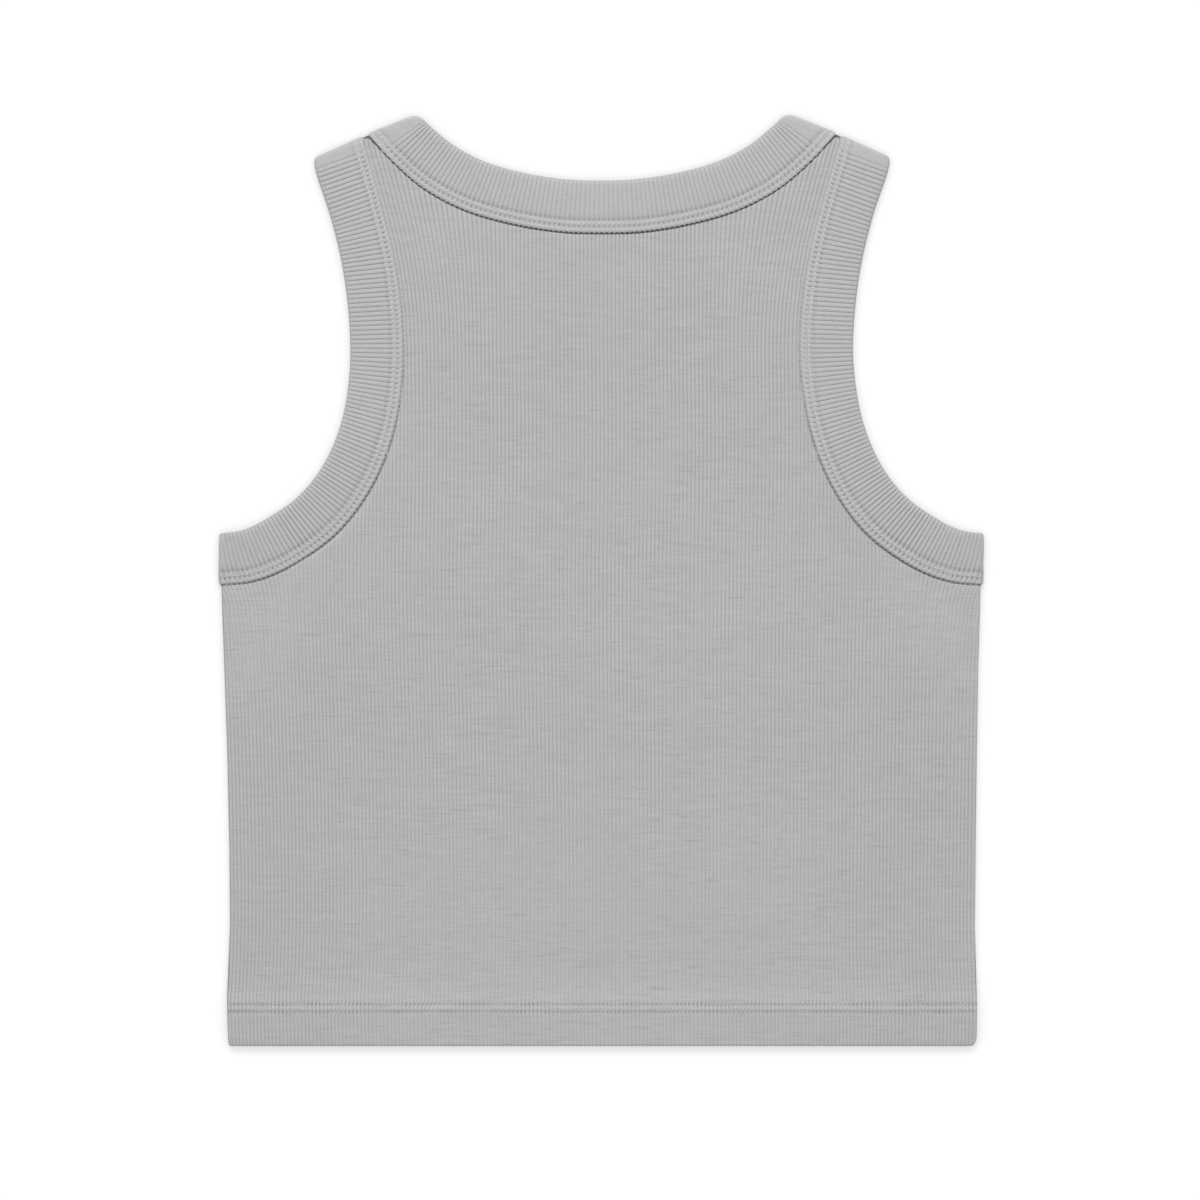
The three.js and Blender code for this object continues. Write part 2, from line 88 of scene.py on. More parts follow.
# Rows of seam x, seam y, free edge x, free edge y.
BACK_ARMHOLE = [
    (120.0, 455.1, 144.3, 444.2),
    (117.3, 445.5, 142.8, 436.5),
    (111.0, 423.0, 135.5, 414.4),
    (103.0, 389.0, 129.0, 386.2),
    (99.5, 352.0, 125.7, 351.6),
    (101.2, 325.0, 127.0, 329.4),
    (107.0, 299.5, 131.5, 308.6),
    (117.7, 276.0, 140.2, 289.4),
    (134.0, 255.3, 152.2, 274.6),
    (158.0, 238.8, 169.8, 262.4),
    (174.5, 232.6, 179.6, 258.0),
    (189.0, 230.9, 189.0, 256.4),
]
FRONT_ARMHOLE = [
    (120.0, 455.1, 144.3, 444.2),
    (116.3, 445.0, 141.0, 436.0),
    (108.5, 423.0, 133.0, 414.0),
    (99.0, 389.0, 124.0, 385.0),
    (93.0, 352.0, 118.5, 350.0),
    (93.5, 322.0, 119.0, 326.0),
    (99.0, 296.0, 123.5, 305.0),
    (110.0, 272.0, 133.0, 286.5),
    (128.0, 251.0, 147.0, 270.5),
    (154.0, 236.5, 167.0, 260.0),
    (172.0, 232.0, 178.0, 257.5),
    (189.0, 230.9, 189.0, 256.4),
]
BACK_NECK_HALF = [
    (117.6, 456.4, 92.3, 466.4),
    (103.0, 441.0, 85.4, 459.7),
    (88.0, 428.5, 73.4, 450.1),
    (68.0, 418.1, 58.3, 442.3),
    (44.0, 411.2, 38.4, 436.6),
    (20.0, 407.4, 17.4, 433.4),
    (0.0, 406.75, 0.0, 432.75),
]
FRONT_NECK_HALF = [
    (117.6, 456.4, 92.3, 466.4),
    (107.0, 441.0, 85.0, 452.8),
    (98.5, 423.0, 75.8, 433.5),
    (88.0, 400.0, 66.0, 412.0),
    (73.0, 376.0, 53.2, 391.3),
    (54.0, 356.0, 39.5, 376.4),
    (28.0, 344.0, 21.1, 368.0),
    (0.0, 340.5, 0.0, 365.5),
]


def mirror_rows(half):
    other = [(-sx, sy, -ex, ey) for sx, sy, ex, ey in half[:-1]]
    return half + other[::-1]


def smooth(value):
    t = np.clip(value, 0.0, 1.0)
    return t * t * (3 - 2 * t)


def rounded_curve(points, steps):
    """A smooth curve through the points, at steps from 0 to 1."""
    points = np.asarray(points, float)
    count = len(points)
    first = 2 * points[0] - points[1]
    last = 2 * points[-1] - points[-2]
    padded = np.vstack([first, points, last])
    place = np.clip(steps, 0, 1) * (count - 1)
    at = np.minimum(place.astype(int), count - 2)
    w = (place - at)[:, None]
    p0, p1, p2, p3 = (padded[at + k] for k in range(4))
    d0 = np.sqrt(np.linalg.norm(p1 - p0, axis=1))[:, None]
    d1 = np.sqrt(np.linalg.norm(p2 - p1, axis=1))[:, None]
    d2 = np.sqrt(np.linalg.norm(p3 - p2, axis=1))[:, None]
    t1 = ((p1 - p0) / d0 - (p2 - p0) / (d0 + d1) + (p2 - p1) / d1) * d1
    t2 = ((p2 - p1) / d1 - (p3 - p1) / (d1 + d2) + (p3 - p2) / d2) * d1
    c2 = 3 * (p2 - p1) - 2 * t1 - t2
    c3 = 2 * (p1 - p2) + t1 + t2
    return p1 + w * (t1 + w * (c2 + w * c3))


class Strip:
    """A band's plan, ruled between its seam and its free edge."""

    def __init__(self, rows):
        rows = np.array(rows, float)
        self.seam = rows[:, :2]
        self.edge = rows[:, 2:]
        self.steps = np.linspace(0, 1, 1201)
        middle = self.at(self.steps, 0.5)
        gaps = np.linalg.norm(np.diff(middle, axis=0), axis=1)
        self.walked = np.concatenate([[0], np.cumsum(gaps)])
        self.length = self.walked[-1]

    def at(self, steps, share):
        steps = np.atleast_1d(np.asarray(steps, float))
        seam = rounded_curve(self.seam, steps)
        edge = rounded_curve(self.edge, steps)
        return seam + (edge - seam) * share

    def walk(self, walked, share):
        return self.at(np.interp(walked, self.walked, self.steps), share)


back_armhole = Strip(BACK_ARMHOLE)
front_armhole = Strip(FRONT_ARMHOLE)
back_neck = Strip(mirror_rows(BACK_NECK_HALF))
front_neck = Strip(mirror_rows(FRONT_NECK_HALF))


def make_mesh(name, points, quads, uv, material, ends=(), painted_shade=None):
    """A smooth mesh from points in millimetres, with rib coordinates as its UVs.

    The painted shade is 0 on open cloth and 1 in the deepest painted shade: at seam gaps, needle holes, rib valleys
    and rounded edges, which darken the colour.
    """
    points = np.asarray(points, float).copy()
    side = smooth(0.5 + points[:, 0] / 120)
    lift = LEFT_STRAP_LIFT + (RIGHT_STRAP_LIFT - LEFT_STRAP_LIFT) * side
    points[:, 0] += np.interp(points[:, 1], ARM_SWAY_Y, ARM_SWAY_X)
    points[:, 1] += lift * smooth((points[:, 1] - 390) / 60)
    points[:, 1] -= HALF_LENGTH
    mesh = bpy.data.meshes.new(name)
    mesh.vertices.add(len(points))
    mesh.vertices.foreach_set("co", (points * MM).astype(np.float32).ravel())
    quads = np.asarray(quads, np.int32)
    ends = np.asarray(ends, np.int32).reshape(-1, 3)
    corners = np.concatenate([quads.ravel(), ends.ravel()])
    starts = np.concatenate([
        np.arange(len(quads)) * 4, quads.size + np.arange(len(ends)) * 3,
    ]).astype(np.int32)
    mesh.loops.add(len(corners))
    mesh.loops.foreach_set("vertex_index", corners)
    mesh.polygons.add(len(starts))
    mesh.polygons.foreach_set("loop_start", starts)
    mesh.update(calc_edges=True)
    layer = mesh.uv_layers.new(name="cloth")
    layer.data.foreach_set("uv", np.asarray(uv, np.float32)[corners].ravel())
    mesh.polygons.foreach_set("use_smooth", np.ones(len(starts), bool))
    if painted_shade is not None:
        painted_shade_layer = mesh.attributes.new("painted_shade", "FLOAT", "POINT")
        painted_shade_layer.data.foreach_set("value", np.asarray(painted_shade, np.float32).ravel())
    mesh.materials.append(material)
    mesh.validate()
    piece = bpy.data.objects.new(name, mesh)
    bpy.context.scene.collection.objects.link(piece)
    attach(piece, "root")
    return piece


def grid_quads(rows, columns, wrap_rows=False, wrap_columns=False):
    """Quads of a grid of points stored row by row."""
    i = np.arange(rows if wrap_rows else rows - 1)
    j = np.arange(columns if wrap_columns else columns - 1)
    i, j = np.meshgrid(i, j, indexing="ij")
    ni = (i + 1) % rows
    nj = (j + 1) % columns
    quads = np.stack([i * columns + j, i * columns + nj, ni * columns + nj, ni * columns + j], -1)
    return quads.reshape(-1, 4)


def side_ends(y, split, flip):
    """Triangles that close the first and last column between upper and lower rows."""
    rows, columns = y.shape
    faces = []
    for column, turned in ((0, flip), (columns - 1, not flip)):
        upper = list(range(split))
        lower = [0] + list(range(rows - 1, split - 2, -1))
        a, b = 0, 0
        while a < len(upper) - 1 or b < len(lower) - 1:
            more_a = a < len(upper) - 1
            more_b = b < len(lower) - 1
            if not more_b or (more_a and y[upper[a + 1], column] <= y[lower[b + 1], column]):
                face = (upper[a], upper[a + 1], lower[b])
                a += 1
            else:
                face = (upper[a], lower[b + 1], lower[b])
                b += 1
            ids = [row * columns + column for row in face]
            if len(set(ids)) == 3:
                faces.append(ids[::-1] if turned else ids)
    return faces


def node(tree, kind, **values):
    made = tree.nodes.new(kind)
    for key, value in values.items():
        if key in made.inputs:
            made.inputs[key].default_value = value
        else:
            setattr(made, key, value)
    return made


def math_node(tree, operation, first, second):
    made = tree.nodes.new("ShaderNodeMath")
    made.operation = operation
    for i, value in enumerate((first, second)):
        if isinstance(value, (int, float)):
            made.inputs[i].default_value = value
        else:
            tree.links.new(value, made.inputs[i])
    return made.outputs[0]


def noise(tree, coordinates, stretch, scale, detail, rough=0.55):
    """Noise over coordinates in millimetres, stretched by a factor on each axis."""
    mapping = node(tree, "ShaderNodeMapping")
    mapping.inputs["Scale"].default_value = [1000.0 * s for s in stretch]
    tree.links.new(coordinates, mapping.inputs["Vector"])
    made = node(tree, "ShaderNodeTexNoise")
    made.inputs["Scale"].default_value = scale
    made.inputs["Detail"].default_value = detail
    made.inputs["Roughness"].default_value = rough
    tree.links.new(mapping.outputs[0], made.inputs["Vector"])
    return made.outputs["Fac"]


def around_one(tree, value, size):
    """Turns a value near one half into a factor near one."""
    centred = math_node(tree, "SUBTRACT", value, 0.5)
    scaled = math_node(tree, "MULTIPLY", centred, size)
    return math_node(tree, "ADD", scaled, 1.0)


def knit_material(name, colour, course, valley_shade, slub, grain):
    """Rib knit: heathered yarn, painted shade in the rib valleys and at seams and edges, uneven courses and loop
    relief.
    """
    made = bpy.data.materials.new(name)
    made.use_nodes = True
    tree = made.node_tree
    tree.nodes.clear()
    out = node(tree, "ShaderNodeOutputMaterial")
    shader = node(tree, "ShaderNodeBsdfPrincipled")
    shader.inputs["Roughness"].default_value = 0.92
    shader.inputs["Specular IOR Level"].default_value = 0.18
    shader.inputs["Sheen Weight"].default_value = 0.12
    shader.inputs["Sheen Roughness"].default_value = 0.6
    tree.links.new(shader.outputs[0], out.inputs["Surface"])
    place = node(tree, "ShaderNodeTexCoord").outputs["Object"]
    uv_map = node(tree, "ShaderNodeUVMap", uv_map="cloth")
    split = node(tree, "ShaderNodeSeparateXYZ")
    tree.links.new(uv_map.outputs[0], split.inputs[0])
    rib, along = split.outputs[0], split.outputs[1]

    turned = math_node(tree, "MULTIPLY", rib, 2 * math.pi)
    # Painted shade: the colour darkens towards the bottom of each rib valley.
    centred = math_node(tree, "SUBTRACT", math_node(tree, "FRACT", rib, 0.0), 0.5)
    gap = math_node(tree, "DIVIDE", math_node(tree, "ABSOLUTE", centred, 0.0), 0.26)
    depth = math_node(tree, "SUBTRACT", 1.0, math_node(tree, "MINIMUM", gap, 1.0))
    shade = math_node(tree, "MULTIPLY", math_node(tree, "POWER", depth, 1.3), valley_shade)
    lit = math_node(tree, "SUBTRACT", 1.0, shade)

    heather = around_one(tree, noise(tree, place, (1, 1, 1), grain, 2.0), 0.2)
    streaks = around_one(tree, noise(tree, place, (0.07, 1.0, 1.0), 0.85, 1.0), slub)
    thin = noise(tree, place, (0.05, 1.0, 1.0), 1.7, 1.0)
    over = math_node(tree, "MAXIMUM", math_node(tree, "SUBTRACT", thin, 0.57), 0.0)
    drawn = math_node(tree, "SUBTRACT", 1.0, math_node(tree, "MULTIPLY", over, slub * 4.8))
    streaks = math_node(tree, "MULTIPLY", streaks, drawn)
    patches = around_one(tree, noise(tree, place, (1, 1, 1), 0.02, 1.0), 0.05)
    factor = math_node(tree, "MULTIPLY", lit, heather)
    factor = math_node(tree, "MULTIPLY", factor, streaks)
    factor = math_node(tree, "MULTIPLY", factor, patches)
    # Painted shade from the mesh's attribute darkens the colour at seams, needle holes, rib valleys and edges.
    painted_shade_amount = node(tree, "ShaderNodeAttribute", attribute_name="painted_shade").outputs["Fac"]
    painted_shade_factor = math_node(tree, "SUBTRACT", 1.0, math_node(tree, "MULTIPLY", painted_shade_amount, 0.7))
    factor = math_node(tree, "MULTIPLY", factor, painted_shade_factor)
    tint = node(tree, "ShaderNodeMix", data_type="RGBA", blend_type="MULTIPLY")
    tint.inputs[0].default_value = 1.0
    tint.inputs[6].default_value = (*colour, 1.0)
    tree.links.new(factor, tint.inputs[7])
    tree.links.new(tint.outputs[2], shader.inputs["Base Color"])

    # Each course is a row of small loops that lean alternately on a rib.
    half = math_node(tree, "ABSOLUTE", math_node(tree, "SINE", turned, 0.0), 0.0)
    slanted = math_node(tree, "MULTIPLY_ADD", half, 0.35)
    tree.links.new(math_node(tree, "DIVIDE", along, course), slanted.node.inputs[2])
    loops = math_node(tree, "SINE", math_node(tree, "MULTIPLY", slanted, 2 * math.pi), 0.0)
    uneven = noise(tree, place, (1, 1, 1), 1.1, 2.0, 0.6)
    relief = math_node(tree, "MULTIPLY_ADD", loops, 0.25)
    tree.links.new(uneven, relief.node.inputs[2])
    bump = node(tree, "ShaderNodeBump", Strength=0.55, Distance=0.00022)
    tree.links.new(relief, bump.inputs["Height"])
    tree.links.new(bump.outputs[0], shader.inputs["Normal"])
    return made


def thread_material(name, colour):
    """Spun sewing thread with a fine twist."""
    made = bpy.data.materials.new(name)
    made.use_nodes = True
    tree = made.node_tree
    tree.nodes.clear()
    out = node(tree, "ShaderNodeOutputMaterial")
    shader = node(tree, "ShaderNodeBsdfPrincipled")
    shader.inputs["Roughness"].default_value = 0.7
    shader.inputs["Specular IOR Level"].default_value = 0.3
    shader.inputs["Sheen Weight"].default_value = 0.1
    tree.links.new(shader.outputs[0], out.inputs["Surface"])
    place = node(tree, "ShaderNodeTexCoord").outputs["Object"]
    factor = around_one(tree, noise(tree, place, (1, 1, 1), 1.6, 2.0), 0.25)
    tint = node(tree, "ShaderNodeMix", data_type="RGBA", blend_type="MULTIPLY")
    tint.inputs[0].default_value = 1.0
    tint.inputs[6].default_value = (*colour, 1.0)
    tree.links.new(factor, tint.inputs[7])
    tree.links.new(tint.outputs[2], shader.inputs["Base Color"])
    twist = node(tree, "ShaderNodeTexWave", Scale=900.0, Distortion=1.5)
    twist.bands_direction = "DIAGONAL"
    tree.links.new(place, twist.inputs["Vector"])
    bump = node(tree, "ShaderNodeBump", Strength=0.35, Distance=0.00008)
    tree.links.new(twist.outputs["Fac"], bump.inputs["Height"])
    tree.links.new(bump.outputs[0], shader.inputs["Normal"])
    return made


BODY_COLOUR = (0.437, 0.447, 0.442)
BAND_COLOUR = (0.434, 0.443, 0.438)
# The thread is lighter than the cloth: partly its own colour, partly a painted highlight for the light its raised
# strokes catch.
THREAD_TONE_AND_HIGHLIGHT = (0.56, 0.57, 0.565)

body_cloth = knit_material("body_rib_knit", BODY_COLOUR, 1.15, 0.17, 0.18, 0.9)
band_cloth = knit_material("band_rib_knit", BAND_COLOUR, 1.25, 0.09, 0.05, 0.9)
thread = thread_material("sewing_thread", THREAD_TONE_AND_HIGHLIGHT)


def half_width(y):
    return np.interp(y, SIDE_Y, SIDE_HALF)


def hem_share(y):
    return np.clip((HEM_RAMP_END - y) / (HEM_RAMP_END - HEM_DEPTH), 0, 1)


def limits(armhole, neck, share):
    """The cut edges of a panel under its bands, as tables by height and by width."""
    steps = np.linspace(0, 1, 600)
    arm = armhole.at(steps, share)[::-1]
    half = neck.at(steps * 0.5, share)[::-1]
    return arm, half


def rib_x(across, y, arm, narrowest):
    """Where a rib that sits at "across" under the arm is found at height y."""
    lean = np.where(y > LEAN_START, np.interp(y, arm[:, 1], arm[:, 0]) - narrowest, 0.0)
    share = smooth((np.abs(across) - 40) / 60)
    low = np.minimum(y, UNDERARM)
    part = across / FULL_HALF
    spread = part + RIB_SPREAD * np.sin(np.pi * part)
    sway = np.interp(y, SWAY_Y, SWAY_X)
    return spread * half_width(low) + np.sign(across) * lean * share + sway


def fan_swing(across, y, seam_y):
    """How far ribs swing outwards just below the arm, before they pass round the side."""
    below = np.maximum(seam_y - y, 0)
    near_side = smooth((np.abs(across) - 135) / 62)
    return np.sign(across) * FAN_SWING * near_side * np.exp(-below / FAN_REACH)


def rib_ends(across, arm, half, narrowest, strap_end):
    """How far up each rib runs before it meets a cut edge."""
    heights = np.arange(UNDERARM, 470.0, 0.25)
    u, y = np.meshgrid(np.abs(across), heights)
    x = rib_x(u, y, arm, narrowest)
    arm_limit = np.where(y <= arm[0, 1], np.inf, np.interp(y, arm[:, 1], arm[:, 0]))
    neck_limit = np.where(x >= half[-1, 0], np.inf, np.interp(x, half[:, 0], half[:, 1]))
    slope = SHOULDER_NORMAL[0] / SHOULDER_NORMAL[1]
    fold = 455.1 - slope * (x - 120.0) - strap_end / SHOULDER_NORMAL[1]
    inside = (x <= arm_limit + 0.02) & (y <= neck_limit) & (y <= fold)
    outside = ~inside
    first = np.where(outside.any(0), outside.argmax(0), len(heights) - 1)
    return heights[np.maximum(first - 1, 0)]


def across_places(places):
    """Places across the body: a few on each rounded side, then several to a rib."""
    ribs = int((FULL_HALF - 1.0) / BODY_PITCH)
    cycles = np.arange(-ribs, ribs)[:, None] + np.array(places)[None, :]
    inner = np.append(cycles.ravel(), ribs) * BODY_PITCH
    side = FULL_HALF - np.array([0.0, 0.08, 0.25, 0.5])
    return np.concatenate([-side, inner, side[::-1]])


def edge_round(across, depth=0.6):
    """From 0 at the very side to 1 where the cloth is flat."""
    inside = np.clip((FULL_HALF - np.abs(across)) / depth, 0, 1)
    return np.sqrt(1 - (1 - inside) ** 2)


def rib_profile(cycles):
    """Height across a rib: broad, slightly crowned ribs with narrow valleys between."""
    gap = np.abs(cycles - np.floor(cycles) - 0.5)
    wall = np.clip(gap / 0.2, 0, 1)
    return 0.65 * np.sqrt(1 - (1 - wall) ** 2) + 0.35 * np.sin(np.pi * gap)


def relax(x, y):
    """Slow unevenness of cloth that was smoothed out by hand."""
    slow = 0.30 * np.sin(x / 47 + 0.8) * np.sin(y / 61 + 0.4)
    slow += 0.22 * np.sin(x / 29 - y / 83 + 2.1)
    slow += 0.16 * np.sin(x / 71 + y / 23 + 4.4)
    slow += 0.10 * np.sin(x / 17 + y / 140 + 1.0)
    return slow


def rib_strength(x, y):
    """Ribs stand a little higher on the upper back and lower near the hem."""
    upper = smooth((y - 250) / 130)
    lower = smooth((150 - y) / 90) * smooth((150 - np.abs(x)) / 60)
    side = smooth((np.abs(x) - 90) / 70) * smooth((240 - y) / 60) * smooth((y - 30) / 110)
    return 1.0 + 0.4 * upper + 0.4 * side - 0.5 * lower


def body_fade(x, y):
    """Keeps the unevenness away from the hem and from the rims of the panel."""
    up = smooth((y - 26) / 40) * smooth((430 - y) / 60)
    side = smooth((FULL_HALF - np.abs(x)) / 45)
    return up * side


def round_hem(x, y):
    """Rounds the two corners of the hem."""
    corner = smooth((2.6 - y) / 2.6) * smooth((np.abs(x) - (FULL_HALF - 8)) / 8)
    side = np.abs(x).max(axis=1, keepdims=True)
    turned = np.clip((np.abs(x) - (side - HEM_CORNER)) / HEM_CORNER, 0, 1)
    rise = 0.85 * HEM_CORNER * (1 - np.sqrt(1 - turned ** 2))
    return x - np.sign(x) * corner * 0.5, y + rise * np.clip(1 - y / 5, 0, 1)


def build_back():
    arm, half = limits(back_armhole, back_neck, RAW_SHARE)
    narrowest = arm[:, 0].min()
    across = across_places([-0.36, -0.2, 0.0, 0.2, 0.36, 0.5])
    ends = rib_ends(across, arm, half, narrowest, 0.7)
    seam_arm, seam_half = limits(back_armhole, back_neck, 0.0)
    under_arm = rib_ends(across, seam_arm, seam_half, narrowest, 0.7)
    under_neck = rib_ends(across, arm, seam_half, narrowest, 0.7)
    seam_y = np.minimum(np.where(ends > LEAN_START, under_neck, under_arm), ends - 0.8)
    seam_x = np.abs(rib_x(across, seam_y, arm, narrowest))
    run = np.interp(seam_y + 1, seam_arm[:, 1], seam_arm[:, 0])
    run = np.abs(run - np.interp(seam_y - 1, seam_arm[:, 1], seam_arm[:, 0]))
    rise = np.interp(seam_x + 1, *seam_half.T) - np.interp(seam_x - 1, *seam_half.T)
    slope = np.where(ends > LEAN_START, np.abs(rise) / 2, 2 / np.maximum(run, 0.3))
    slope = np.minimum(slope, 6.0)
    facing = 1 / np.sqrt(1 + slope ** 2)
    crossing = (0.55 + 0.45 * smooth((2.2 - slope) / 1.2)) * smooth((6 - slope) / 1.5)
    crossing = crossing * smooth((FULL_HALF - np.abs(across)) / 24)

    # Rows of points: level at first, then spaced out between the arm and each seam.
    low_rows = [1.3, 3.2, 6.0, 9.5, 13.0, 14.6, 15.6, 16.3, 16.75, 17.1, 17.5, 17.9, 18.5]
    low_rows += [19.2, 19.9, 20.4, 20.8, 21.2, 21.7, 22.6, 24.0, 27.0, 32.0]
    low_rows += list(np.linspace(44, 220, 12))
    top_y = [np.full_like(across, y) for y in low_rows]
    knee = np.minimum(under_arm, 352.0) - np.maximum(3.5, 2.4 / facing)
    below_seam = seam_y - np.maximum(2.9, 2.0 / facing)
    top_y += [220 + (knee - 220) * f for f in np.linspace(0, 1, 19)[1:]]
    top_y += [knee + (below_seam - knee) * f for f in np.linspace(0, 1, 7)[1:]]
    top_y += [seam_y - d / facing for d in (1.45, 1.0, 0.65, 0.3, 0.0)]
    top_y += [seam_y + 0.5, ends]
    top_y = np.array(top_y)
    hem_fold = [(0.45, 0.0), (0.1, 0.14), (0.0, 0.5), (0.05, 0.86), (0.3, 0.97)]
    under_y = [ends] + [np.full_like(ends, y) for y in (UNDERARM, 190, 148, 98, 60, 24.0, 18.5)]

    rounded = edge_round(across)
    rows_y, rows_x, rows_z, rows_painted_shade, rows_cycles = [], [], [], [], []

    def put(y, lift, is_top):
        painted_shade = np.zeros_like(y)
        x = rib_x(across, y, arm, narrowest)
        cycles = (across - fan_swing(across, y, seam_y)) / BODY_PITCH
        ribs = rib_profile(cycles)
        under = BACK_UNDER + HEM_EXTRA * hem_share(y)
        thick = CLOTH + HEM_EXTRA * hem_share(y)
        near_arm = smooth(1 - (seam_y - y) / 14) * smooth((np.abs(across) - 140) / 20)
        wave = np.maximum(relax(x, y), -0.35) * body_fade(x, y)
        on_strap = smooth((y - 400) / 25)
        wave = wave + 0.35 * np.maximum.reduce([body_fade(x, y), near_arm, on_strap])
        edge = np.where(is_top, 0.5 + 0.5 * rounded, 0.5 - 0.5 * rounded)
        z = under + thick * (edge if lift is None else lift) + wave
        if is_top and lift is None:
            from_seam = np.abs(seam_y - y) * facing
            # Painted shade along the seam, where the band's edge shades the cloth; the same profile sets how deep the
            # seam groove dips.
            painted_shade = np.exp(-((from_seam / 0.6) ** 2)) * crossing
            standing = ribs * BODY_RIB * rib_strength(x, y) * rounded
            beside = np.abs(np.abs(x) - np.interp(y, seam_arm[:, 1], seam_arm[:, 0]))
            beside = np.maximum(beside - 0.7 * smooth((318 - y) / 12), 0)
            beside = beside + 9 * smooth((266 - y) / 6) + 9 * smooth((y - 385) / 20)
            apart = np.minimum(from_seam, beside)
            tucked = z - TUCKED_HEIGHT - 0.45 * np.maximum(apart - 0.8, 0)
            tucked = tucked * smooth((y - 240) / 8) * smooth((FULL_HALF - np.abs(x)) / 12)
            dip = np.clip(np.maximum(tucked, painted_shade * SEAM_GROOVE), 0, 0.85)
            standing = standing * (1 - 0.75 * np.exp(-((apart / 0.9) ** 2)))
            z = z + standing - dip
            for row in HEM_ROWS:
                lean = 0.9 * np.sin(x / 31 + row)
                turn = (x + lean * (y - row)) / HEM_STITCH
                holes = 0.5 - 0.5 * np.cos(2 * np.pi * turn)
                holes = holes ** 1.4 * (0.8 + 0.2 * np.sin(x / 2.7 + row) * np.sin(x / 7.1))
                near = np.exp(-(((y - row) / 0.8) ** 2))
                z = z - near * (0.05 + 0.3 * holes)
                # Painted shade in the needle holes of the hem stitches.
                painted_shade = painted_shade + near * (0.66 if row > 19 else 0.56) * holes
        rows_x.append(x)
        rows_y.append(y)
        rows_z.append(z)
        rows_painted_shade.append(painted_shade)
        rows_cycles.append(cycles)

    ribs = rib_profile(across / BODY_PITCH)
    for y, lift in hem_fold:
        squeezed = 0.5 + (lift - 0.5) * rounded
        put(np.full_like(across, y), squeezed, True)
        rows_z[-1] = rows_z[-1] + ribs * BODY_RIB * rounded * max(0.0, lift - 0.2)
    for y in top_y:
        put(y, None, True)
    for y in under_y:
        put(y, None, False)

    x = np.array(rows_x)
    y = np.array(rows_y)
    z = np.array(rows_z)
    top = slice(len(hem_fold), len(hem_fold) + len(top_y))

    # The cloth between the two rows of hem stitches stands up a little.
    z[top] += 0.05 * np.exp(-(((y[top] - 18.75) / 0.8) ** 2))

    x, y = round_hem(x, y)

    count_rows, count_columns = x.shape
    points = np.stack([x, y, z], -1).reshape(-1, 3)
    uv = np.stack([np.array(rows_cycles), y], -1).reshape(-1, 2)
    quads = grid_quads(count_rows, count_columns, wrap_rows=True)
    closing = side_ends(y, len(hem_fold) + len(top_y), False)
    painted_shade = np.array(rows_painted_shade)
    piece = make_mesh(
        "back_panel_knit", points, quads, uv, body_cloth, closing, painted_shade
    )
    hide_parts("back_panel")
    return piece


def build_front():
    arm, half = limits(front_armhole, front_neck, 0.12)
    narrowest = arm[:, 0].min()
    across = across_places([-0.25, 0.0, 0.25, 0.5])
    ends = rib_ends(across, arm, half, narrowest, 1.2)
    cycles = across / BODY_PITCH
    ribs = rib_profile(cycles)
    rounded = edge_round(across)
    low_rows = [1.2, 9.0, 16.3, 17.1, 17.9, 20.0, 20.8, 21.6, 24.0, 60.0, 98.0, 148.0, 190.0, UNDERARM]
    down = [np.full_like(across, y) for y in low_rows]
    down += [UNDERARM + (ends - UNDERARM) * f for f in np.linspace(0, 1, 13)[1:]]
    up_rows = [ends] + [np.full_like(ends, y) for y in (UNDERARM, 190, 148, 98, 60, 24.0, 18.5)]
    rows = []
    for y in down:
        under = np.where(y > UNDERARM - 4, 0.05, 0.0)
        z = 0.5 - 0.5 * rounded + (1 - ribs) * 0.3 * rounded + under
        for row in HEM_ROWS:
            z = z + 0.22 * np.exp(-(((y - row) / 0.75) ** 2))
        rows.append((y, z))
    for y in up_rows:
        z = 0.5 + 0.5 * rounded - 0.05 + HEM_EXTRA * hem_share(y) * rounded
        rows.append((y, z))
    for y, lift in [(0.4, 1.85), (0.0, 1.3), (0.0, 0.6), (0.35, 0.1)]:
        z = 0.9 + (lift - 0.9) * rounded
        rows.append((np.full_like(across, y), z))
    y = np.array([row[0] for row in rows])
    z = np.array([row[1] for row in rows])
    x = rib_x(across, y, arm, narrowest)
    x, y = round_hem(x, y)
    points = np.stack([x, y, z], -1).reshape(-1, 3)
    uv = np.stack([np.broadcast_to(cycles, x.shape), y], -1).reshape(-1, 2)
    quads = grid_quads(*x.shape, wrap_rows=True)[:, ::-1]
    closing = side_ends(y, len(down), True)
    piece = make_mesh("front_panel_knit", points, quads, uv, body_cloth, closing)
    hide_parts("front_panel")
    return piece


